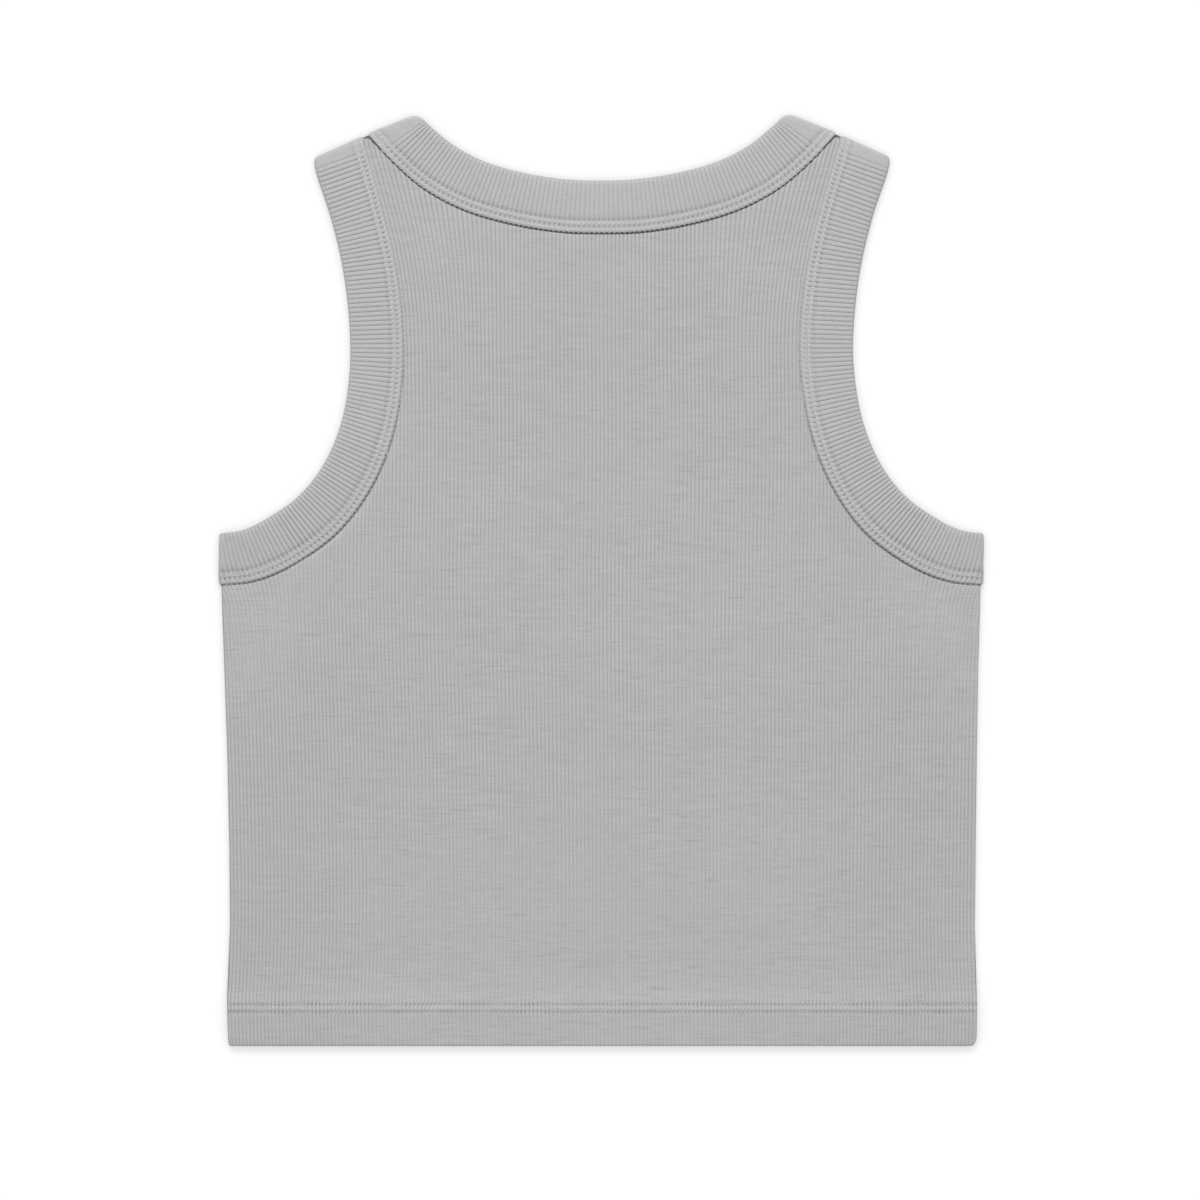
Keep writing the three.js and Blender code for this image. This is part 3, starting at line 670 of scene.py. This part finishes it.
# Section of a band, from the seam edge, under the lap, out to the free edge and back.
# Columns: share of the width, height on the back, share and height on the front,
# which fold it takes, and how much of the rib shows.
BAND_SECTION = [
    (0.000, 2.90, 0.000, 0.95, "lap", 0),
    (0.345, 2.92, 0.345, 0.98, "lap", 0),
    (0.345, 1.30, 0.380, 0.98, "slit", 0),
    (0.970, 1.30, 0.970, 0.98, "slit", 0),
    (0.990, 1.55, 0.990, 0.85, "edge", 0),
    (1.000, 2.20, 1.000, 0.60, "edge", 0.2),
    (0.998, 2.75, 0.998, 0.35, "edge", 0.4),
    (0.988, 3.15, 0.988, 0.12, "outer", 0.6),
    (0.970, 3.46, 0.970, 0.05, "outer", 0.8),
    (0.940, 3.70, 0.940, 0.02, "outer", 0.95),
    (0.895, 3.84, 0.895, 0.00, "outer", 1),
    (0.800, 3.92, 0.800, 0.00, "outer", 1),
    (0.680, 3.96, 0.680, 0.00, "outer", 1),
    (0.560, 3.98, 0.560, 0.00, "outer", 1),
    (0.440, 3.96, 0.440, 0.00, "outer", 1),
    (0.350, 3.93, 0.350, 0.00, "outer", 1),
    (0.290, 3.87, 0.290, 0.02, "outer", 0.95),
    (0.264, 3.70, 0.264, 0.05, "outer", 0.95),
    (0.247, 3.52, 0.247, 0.10, "outer", 0.95),
    (0.232, 3.40, 0.232, 0.14, "outer", 0.95),
    (0.216, 3.48, 0.216, 0.12, "outer", 0.9),
    (0.198, 3.61, 0.198, 0.09, "outer", 0.85),
    (0.167, 3.66, 0.167, 0.08, "outer", 0.8),
    (0.138, 3.57, 0.138, 0.10, "outer", 0.85),
    (0.118, 3.40, 0.118, 0.13, "outer", 0.9),
    (0.101, 3.27, 0.101, 0.16, "outer", 0.9),
    (0.084, 3.38, 0.084, 0.14, "outer", 0.9),
    (0.066, 3.51, 0.066, 0.12, "outer", 0.8),
    (0.045, 3.55, 0.045, 0.12, "outer", 0.7),
    (0.022, 3.48, 0.022, 0.16, "outer", 0.6),
    (0.006, 3.36, 0.006, 0.30, "outer", 0.5),
    (0.000, 3.18, 0.000, 0.60, "outer", 0.4),
    # The last three rows make a thin lip over the body beyond the seam, darkened with painted shadow for the gap
    # under the band's edge.
    (-0.008, 3.00, 0.000, 0.68, "lap", 0),
    (-0.030, 2.96, 0.000, 0.76, "lap", 0),
    (-0.028, 2.91, 0.000, 0.86, "lap", 0),
]
FOLDS = {
    "outer": [(0.95, 3.9), (0.55, 3.72), (0.2, 3.35), (0.0, 2.7), (0.0, 1.0), (0.12, 0.5), (0.45, 0.12), (1.0, 0.0)],
    "edge": [(0.95, 3.1), (0.8, 2.8), (0.65, 2.4), (0.55, 2.0), (0.55, 1.2), (0.6, 0.9), (0.7, 0.7), (0.95, 0.55)],
    "lap": [(1.3, 2.9), (1.15, 2.8), (1.0, 2.5), (0.95, 2.2), (0.95, 1.5), (1.0, 1.2), (1.1, 1.05), (1.3, 0.98)],
    "slit": [(1.6, 1.3), (1.55, 1.28), (1.5, 1.24), (1.45, 1.19), (1.45, 1.1), (1.5, 1.04), (1.55, 1.0), (1.6, 0.98)],
}
FOLD_STEPS = 8


def rib_stations(strip, start, end, shape, places):
    """Stations along a band, the rib that each is on, and how far its ribs stand."""
    first, last = start["plain"], strip.length - end["plain"]
    walked = np.linspace(first, last, 1201)
    pitch = BAND_PITCH * np.interp(walked / strip.length, (0, 0.5, 1), shape["spread"])
    middle = 0.5 / pitch[1:] + 0.5 / pitch[:-1]
    cycles = np.concatenate([[0], np.cumsum(np.diff(walked) * middle)])
    count = int(round(cycles[-1]))
    cycles *= count / cycles[-1]
    on_rib = np.append((np.arange(count)[:, None] + np.array(places)[None, :]).ravel(), count)
    station = np.interp(on_rib, cycles, walked)
    if first > 0:
        station = np.append(np.linspace(start["clear"], first, 4)[:-1], station)
        on_rib = np.append(np.zeros(3), on_rib)
    if end["plain"] > 0:
        station = np.append(station, np.linspace(last, strip.length - end["clear"], 4)[1:])
        on_rib = np.append(on_rib, np.full(3, float(count)))
    strength = np.interp(station / strip.length, (0, 0.25, 0.5, 0.75, 1), shape["relief"])
    if first > 0:
        strength = strength * (0.35 + 0.65 * smooth((station - first + 1) / 6))
    if end["plain"] > 0:
        strength = strength * (0.35 + 0.65 * smooth((last + 1 - station) / 6))
    return station, on_rib, strength


def unit(vector):
    return vector / np.linalg.norm(vector)


def round_corners(points, where):
    """Brings the corners of a band at a fold in to an arc."""
    free, seam = where["corner"](1.0), where["corner"](0.0)
    inward = unit(seam - free)
    for tip, along_fold, share, radius in (
        (free, inward, 1.0, where["free_round"]),
        (seam, -inward, 0.0, where["seam_round"]),
    ):
        along_edge = unit(where["next"](share) - tip)
        fold_out = where["normal"]
        edge_out = np.array([-along_edge[1], along_edge[0]])
        if edge_out @ along_fold > 0:
            edge_out = -edge_out
        half_turn = math.acos(np.clip(fold_out @ edge_out, -1, 1)) / 2
        centre = tip - unit(fold_out + edge_out) * radius / math.cos(half_turn)
        spoke = points[:, :2] - centre
        far = np.maximum(np.linalg.norm(spoke, axis=1), 1e-6)
        heading = spoke / far[:, None]
        turned = (heading @ -along_fold > 0) & (heading @ -along_edge > 0)
        closing = np.clip(np.maximum(heading @ fold_out, heading @ edge_out), 0.3, 1.0)
        reach = np.clip(far * closing / radius, 0, 1.3)
        scale = 1 - (1 - closing) * reach ** 4
        points[:, :2] = np.where(turned[:, None], centre + spoke * scale[:, None], points[:, :2])


def leaned(cycles, walked, strip, share, lean):
    """Rib numbers of a band whose ribs lean over towards the seam near the side."""
    near = smooth(1 - (strip.length - walked) / SIDE_LEAN_LENGTH)
    return cycles + lean * (1 - 2 * share) * near / BAND_PITCH


def build_band(name, node_name, back, front, start, end, side, shape):
    """A closed ring: over the back, round a fold, along the front, round the other fold."""
    back_places = (0.0, 0.2, 0.33, 0.42, 0.5, 0.58, 0.67, 0.8)
    back_walk, back_cycles, back_plain = rib_stations(back, start, end, shape, back_places)
    front_places = (0.0, 0.25, 0.4, 0.5, 0.6, 0.75)
    front_walk, front_cycles, front_plain = rib_stations(front, start, end, shape, front_places)
    front_walk, front_plain = front_walk[::-1], front_plain[::-1]
    front_cycles = front_cycles[::-1]
    columns, rows_cycles = [], []
    past = 2.2 - np.minimum.accumulate([p[0] for p in FOLDS["outer"]])
    past = past / BAND_PITCH * (end["plain"] == 0)
    for share, back_z, front_share, front_z, fold, weight in BAND_SECTION:
        back_rib = leaned(back_cycles, back_walk, back, share, shape["lean"])
        front_rib = leaned(front_cycles, front_walk, front, share, shape["lean"])
        rows_cycles.append(np.concatenate([
            back_rib, back_rib[-1] + past,
            front_rib, np.full(FOLD_STEPS, back_rib[0]),
        ]))
        scallop = 0.005 if share > 0 else -0.010
        scallop = scallop * np.cos(2 * np.pi * back_rib) if abs(share) < 0.03 else 0.0
        steps = np.interp(back_walk, back.walked, back.steps)
        plan, edge = back.at(steps, 0.0), back.at(steps, 1.0)
        plan = plan + (edge - plan) * np.reshape(share - scallop, (-1, 1))
        ribs = (rib_profile(back_rib) - 0.5) * BAND_RIB * back_plain
        z = back_z + ribs * (0 if fold in ("lap", "slit") else weight)
        part = [np.column_stack([plan, z])]
        shares = np.linspace(share, front_share, FOLD_STEPS)
        for where, at_end in ((end, True), (start, False)):
            corners = np.array([where["corner"](s) for s in shares])
            inside = np.array([p[0] for p in FOLDS[fold]])
            heights = np.array([p[1] for p in FOLDS[fold]])
            if fold == "outer":
                drop = np.clip((3.95 - back_z), 0, 1)
                heights = heights - drop * smooth((heights - 1.2) / 2.6)
            turned = np.column_stack([corners - where["normal"] * inside[:, None], heights])
            if at_end:
                standing = (rib_profile(back_rib[-1] + past) - 1) * BAND_RIB * weight
                if fold == "outer" and end["plain"] == 0:
                    turned[:, 2] += standing * smooth((heights - 2.4) / 0.8)
                part.append(turned)
                plan = front.walk(front_walk, front_share)
                ribs = 0.75 * (1 - rib_profile(front_rib)) * BAND_RIB * front_plain
                z = front_z + ribs * (weight if fold == "outer" else 0)
                part.append(np.column_stack([plan, z]))
            else:
                part.append(turned[::-1])
        ring = np.vstack(part)
        round_corners(ring, start)
        round_corners(ring, end)
        columns.append(ring)
    points = np.array(columns)
    cycles = np.array(rows_cycles)
    shares = np.array([row[0] for row in BAND_SECTION])[:, None]
    outer = np.array([row[4] == "outer" for row in BAND_SECTION])[:, None]
    from_seam = shares * BAND_WIDTH
    valleys = (1 - rib_profile(cycles)) ** 0.8
    uneven = 0.8 + 0.2 * np.sin(cycles * 2.4 + 1) * np.sin(cycles * 0.37)
    drift = 0.25 * np.sin(cycles * 1.1) * np.sin(cycles * 0.23 + 2)
    # Painted shade: the colour darkens in the rib valleys along both stitch rows, at the rounded free edge, in the
    # rib valleys near the side, and on the lip at the foot of the seam.
    painted_shade = 0.55 * valleys * np.exp(-(((from_seam - SEWN_ROWS[0] + drift) / 0.6) ** 2))
    upper_row = np.exp(-(((from_seam - SEWN_ROWS[1] - drift) / 0.8) ** 2))
    painted_shade = (painted_shade + (0.08 + 0.34 * valleys) * upper_row) * uneven + 0.2 * (shares > 0.98)
    walked = np.concatenate([
        back_walk / back.length, np.ones(FOLD_STEPS), np.full(len(front_walk) + FOLD_STEPS, 0.5),
    ])
    painted_shade = (painted_shade + shape["side_painted_shade"] * valleys * smooth((walked - 0.72) / 0.28)) * outer
    painted_shade += (shares < 0) * np.interp(walked, *zip(*shape["seam_painted_shade"]))
    uv = np.stack([cycles, np.broadcast_to(from_seam, cycles.shape)], -1)
    count_rows, count_columns = points.shape[:2]
    points = points.reshape(-1, 3)
    points[:, 0] *= side
    quads = grid_quads(count_rows, count_columns, wrap_rows=True, wrap_columns=True)
    if side * where_turn(back) < 0:
        quads = quads[:, ::-1]
    piece = make_mesh(
        name, points, quads, uv.reshape(-1, 2), band_cloth, painted_shade=painted_shade
    )
    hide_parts(node_name)
    return piece


def where_turn(strip):
    """Whether a strip's seam lies to the left or the right of the way it is walked."""
    ahead = strip.seam[1] - strip.seam[0]
    out = strip.edge[0] - strip.seam[0]
    return 1.0 if ahead[0] * out[1] - ahead[1] * out[0] < 0 else -1.0


def tube(path, radius, sides=6):
    """A closed tube round a path of points in millimetres."""
    path = np.asarray(path, float)
    ahead = np.gradient(path, axis=0)
    ahead /= np.linalg.norm(ahead, axis=1)[:, None]
    up = np.array([0.0, 0.0, 1.0])
    across = np.cross(ahead, up)
    across /= np.maximum(np.linalg.norm(across, axis=1), 1e-6)[:, None]
    over = np.cross(across, ahead)
    turn = np.linspace(0, 2 * math.pi, sides, endpoint=False)
    ring = (
        path[:, None, :]
        + across[:, None, :] * (radius * np.cos(turn))[None, :, None]
        + over[:, None, :] * (radius * 0.7 * np.sin(turn))[None, :, None]
    )
    points = ring.reshape(-1, 3)
    quads = grid_quads(len(path), sides, wrap_columns=True)[:, ::-1]
    start_cap = np.array([[0, 1, 2, 3], [0, 3, 4, 5]])
    end_cap = start_cap[:, ::-1] + (len(path) - 1) * sides
    return points, np.vstack([quads, start_cap, end_cap])


def stitch_path(turn, reach, wide, rng):
    """Sideways swing and lift of stitches: a slanted stroke, then a dive to the next."""
    along = turn - np.floor(turn + 0.5)
    each = np.arange(int(turn[-1]) + 4)
    uneven = np.interp(turn, each, rng.normal(0, 0.08, len(each)))
    diving = np.sign(along) * (0.5 - np.abs(along)) / (0.5 - wide)
    swing = reach * np.where(np.abs(along) > wide, diving, along / wide) + uneven
    rising = np.cos(np.pi * np.clip(along / (2.5 * wide), -0.5, 0.5)) ** 0.6
    lift = rising - 1.2 * np.clip((np.abs(along) - 1.25 * wide) / 0.18, 0, 1)
    return swing, lift


def thread_piece(name, runs):
    points, quads, base = [], [], 0
    for path, radius in runs:
        p, q = tube(path, radius)
        points.append(p)
        quads.append(q + base)
        base += len(p)
    points = np.vstack(points)
    quads = np.vstack(quads)
    uv = points[:, :2] * 0.1
    return make_mesh(name, points, quads, uv, thread)


def band_stitches(name, back, front, start, end, side, shape, rng):
    runs = []
    for strip, is_back in ((back, True), (front, False)):
        station, on_rib, _ = rib_stations(strip, start, end, shape, (0.0,))
        station = np.concatenate([[0], station, [strip.length]])
        on_rib = np.concatenate([[0], on_rib, [on_rib[-1]]])
        inner = np.clip(station, start["plain"], strip.length - end["plain"])
        on_rib = on_rib + (station - inner) / BAND_PITCH
        walked = np.arange(1.4, strip.length - (1.4 if end["plain"] else 0.3), 0.24)
        turn = np.interp(walked, station, on_rib)
        for offset, height, reach in zip(THREAD_ROWS, THREAD_HEIGHTS, (0.7, 0.95)):
            ribs = leaned(turn, walked, strip, offset / BAND_WIDTH, shape["lean"])
            swing, lift = stitch_path(ribs + 4.4, reach * shape["slant"], 0.26, rng)
            share = (offset + swing) / BAND_WIDTH
            steps = np.interp(walked, strip.walked, strip.steps)
            seam = rounded_curve(strip.seam, steps)
            edge = rounded_curve(strip.edge, steps)
            plan = seam + (edge - seam) * share[:, None]
            z = height + 0.46 * lift if is_back else np.maximum(0.26 - 0.10 * lift, 0.16)
            path = np.column_stack([plan, z])
            path[:, 0] *= side
            runs.append((path, 0.33 if is_back else 0.15))
    return thread_piece(name, runs)


def hem_stitches(name, is_back, rng):
    runs = []
    for row, reach in zip(HEM_THREADS, (0.5, 0.85)):
        walked = np.arange(0.0, 2 * FULL_HALF - 8, 0.24)
        half = half_width(row) - 2.5
        x = -half + walked * (2 * half / walked[-1]) + np.interp(row, SWAY_Y, SWAY_X)
        turn = x / HEM_STITCH + 0.1
        swing, lift = stitch_path(turn - np.floor(turn[0]), reach, 0.18, rng)
        y = row + swing
        if is_back:
            share = hem_share(np.full_like(y, row))
            z = BACK_UNDER + CLOTH + 2 * HEM_EXTRA * share + 0.02 + 0.30 * lift
        else:
            z = np.full_like(x, 0.17)
        runs.append((np.column_stack([x, y, z]), 0.18 if is_back else 0.15))
    return thread_piece(name, runs)


SHOULDER_END = {
    "corner": lambda s: back_armhole.at([0.0], s)[0],
    "next": lambda s: back_armhole.at([0.05], s)[0],
    "normal": SHOULDER_NORMAL,
    "clear": 2.2,
    "plain": 5.6,
    "free_round": 3.4,
    "seam_round": 0.8,
}
SIDE_END = {
    "corner": lambda s: np.array([SIDE_FOLD_X, back_armhole.at([1.0], s)[0][1]]),
    "next": lambda s: back_armhole.at([0.97], s)[0],
    "normal": np.array([1.0, 0.0]),
    "clear": 0.0,
    "plain": 0.0,
    "free_round": 2.0,
    "seam_round": 1.0,
}
NECK_RIGHT_END = {
    "corner": lambda s: back_neck.at([0.0], s)[0],
    "next": lambda s: back_neck.at([0.05], s)[0],
    "normal": SHOULDER_NORMAL,
    "clear": 2.2,
    "plain": 7.4,
    "free_round": 6.5,
    "seam_round": 1.5,
}
NECK_LEFT_END = dict(
    NECK_RIGHT_END,
    corner=lambda s: back_neck.at([1.0], s)[0],
    next=lambda s: back_neck.at([0.95], s)[0],
    normal=SHOULDER_NORMAL * np.array([-1.0, 1.0]),
)

# Along each band: how far its ribs spread and stand, how they lean near the side,
# and how much painted shade darkens its rib valleys near the side and the foot of its seam.
ARM_SHAPE = {
    "spread": (1.06, 1.01, 0.97),
    "relief": (1.2, 1.05, 0.95, 1.3, 1.9),
    "lean": 2.5,
    "slant": 1.0,
    "side_painted_shade": 0.28,
    "seam_painted_shade": [
        (0, 0.0), (0.35, 0.0), (0.42, 0.0), (0.5, 0.08), (0.55, 0.2), (0.6, 0.32),
        (0.68, 0.42), (0.75, 0.45), (0.9, 0.64), (0.96, 0.42), (1, 0.0),
    ],
}
NECK_SHAPE = {
    "spread": (1.0, 1.045, 1.0),
    "relief": (1.25, 1.1, 0.6, 1.1, 1.25),
    "lean": 0.0,
    "slant": -1.0,
    "side_painted_shade": 0.0,
    "seam_painted_shade": [(0, 0.6), (0.05, 0.9), (0.95, 0.9), (1, 0.6)],
}

rng = np.random.default_rng(11)
back_piece = build_back()
front_piece = build_front()
neck_piece = build_band(
    "neck_binding_knit", "neck_binding",
    back_neck, front_neck, NECK_RIGHT_END, NECK_LEFT_END, 1, NECK_SHAPE,
)
left_piece = build_band(
    "armhole_binding_left_knit", "armhole_binding_left",
    back_armhole, front_armhole, SHOULDER_END, SIDE_END, -1, ARM_SHAPE,
)
right_piece = build_band(
    "armhole_binding_right_knit", "armhole_binding_right",
    back_armhole, front_armhole, SHOULDER_END, SIDE_END, 1, ARM_SHAPE,
)
neck_thread = band_stitches(
    "neck_binding_stitches", back_neck, front_neck,
    NECK_RIGHT_END, NECK_LEFT_END, 1, NECK_SHAPE, rng,
)
left_thread = band_stitches(
    "armhole_stitches_left", back_armhole, front_armhole,
    SHOULDER_END, SIDE_END, -1, ARM_SHAPE, rng,
)
right_thread = band_stitches(
    "armhole_stitches_right", back_armhole, front_armhole,
    SHOULDER_END, SIDE_END, 1, ARM_SHAPE, rng,
)
back_hem_thread = hem_stitches("back_hem_stitches", True, rng)
front_hem_thread = hem_stitches("front_hem_stitches", False, rng)


def build_floor():
    mesh = bpy.data.meshes.new("floor")
    size = 3.0
    corners = [(-size, -size, 0), (size, -size, 0), (size, size, 0), (-size, size, 0)]
    mesh.from_pydata([(x, y, -0.00004) for x, y, _ in corners], [], [(0, 1, 2, 3)])
    floor = bpy.data.objects.new("floor", mesh)
    bpy.context.scene.collection.objects.link(floor)
    made = bpy.data.materials.new("pale_paper")
    made.use_nodes = True
    tree = made.node_tree
    shader = tree.nodes["Principled BSDF"]
    shader.inputs["Roughness"].default_value = 0.95
    shader.inputs["Specular IOR Level"].default_value = 0.1
    shader.inputs["Base Color"].default_value = (0.15, 0.15, 0.15, 1.0)
    shader.inputs["Emission Strength"].default_value = 0.87
    place = node(tree, "ShaderNodeTexCoord").outputs["Object"]
    grain = around_one(tree, noise(tree, place, (1, 1, 1), 0.6, 2.0), 0.01)

    # Painted shadow: the floor's glow is darkened near the cloth, as far as the cloth hides the room from it.
    nearby = node(tree, "ShaderNodeAmbientOcclusion", samples=8, Distance=0.009)
    floor_painted_shadow = math_node(tree, "SUBTRACT", 1.0, nearby.outputs["AO"])
    open_floor = math_node(tree, "SUBTRACT", 1.0, math_node(tree, "MULTIPLY", floor_painted_shadow, 0.52))
    tree.links.new(math_node(tree, "MULTIPLY", grain, open_floor), shader.inputs["Emission Color"])
    mesh.materials.append(made)


def area_light(name, place, target, size, power):
    data = bpy.data.lights.new(name, "AREA")
    data.shape = "DISK"
    data.size = size
    data.energy = power
    light = bpy.data.objects.new(name, data)
    light.location = place
    direction = np.array(target, float) - np.array(place, float)
    light.rotation_euler = Vector(direction).to_track_quat("-Z", "Y").to_euler()
    bpy.context.scene.collection.objects.link(light)


build_floor()
area_light("key", (-0.36, 3.64, 4.2), (0, 0, 0), 2.4, 250.0)

world = bpy.data.worlds.new("studio")
world.use_nodes = True
world.node_tree.nodes["Background"].inputs["Color"].default_value = (1.0, 1.0, 1.0, 1.0)
world.node_tree.nodes["Background"].inputs["Strength"].default_value = 0.52
scene = bpy.context.scene
scene.world = world
scene.view_settings.view_transform = "Standard"
scene.view_settings.look = "None"
scene.view_settings.exposure = 0.0
scene.view_settings.gamma = 1.0

# The camera looks straight down from far off, as the photograph does.
PHOTO_WIDTH = 0.6
CAMERA_HEIGHT = 6.0
PHOTO_CENTRE = (-0.0005, (223.0 - HALF_LENGTH) * MM)
camera_data = bpy.data.cameras.new("camera")
camera_data.sensor_width = 36.0
camera_data.lens = 36.0 * CAMERA_HEIGHT / PHOTO_WIDTH
camera_data.clip_end = 50.0
camera = bpy.data.objects.new("camera", camera_data)
camera.location = (PHOTO_CENTRE[0], PHOTO_CENTRE[1], CAMERA_HEIGHT + 0.002)
scene.collection.objects.link(camera)
scene.camera = camera
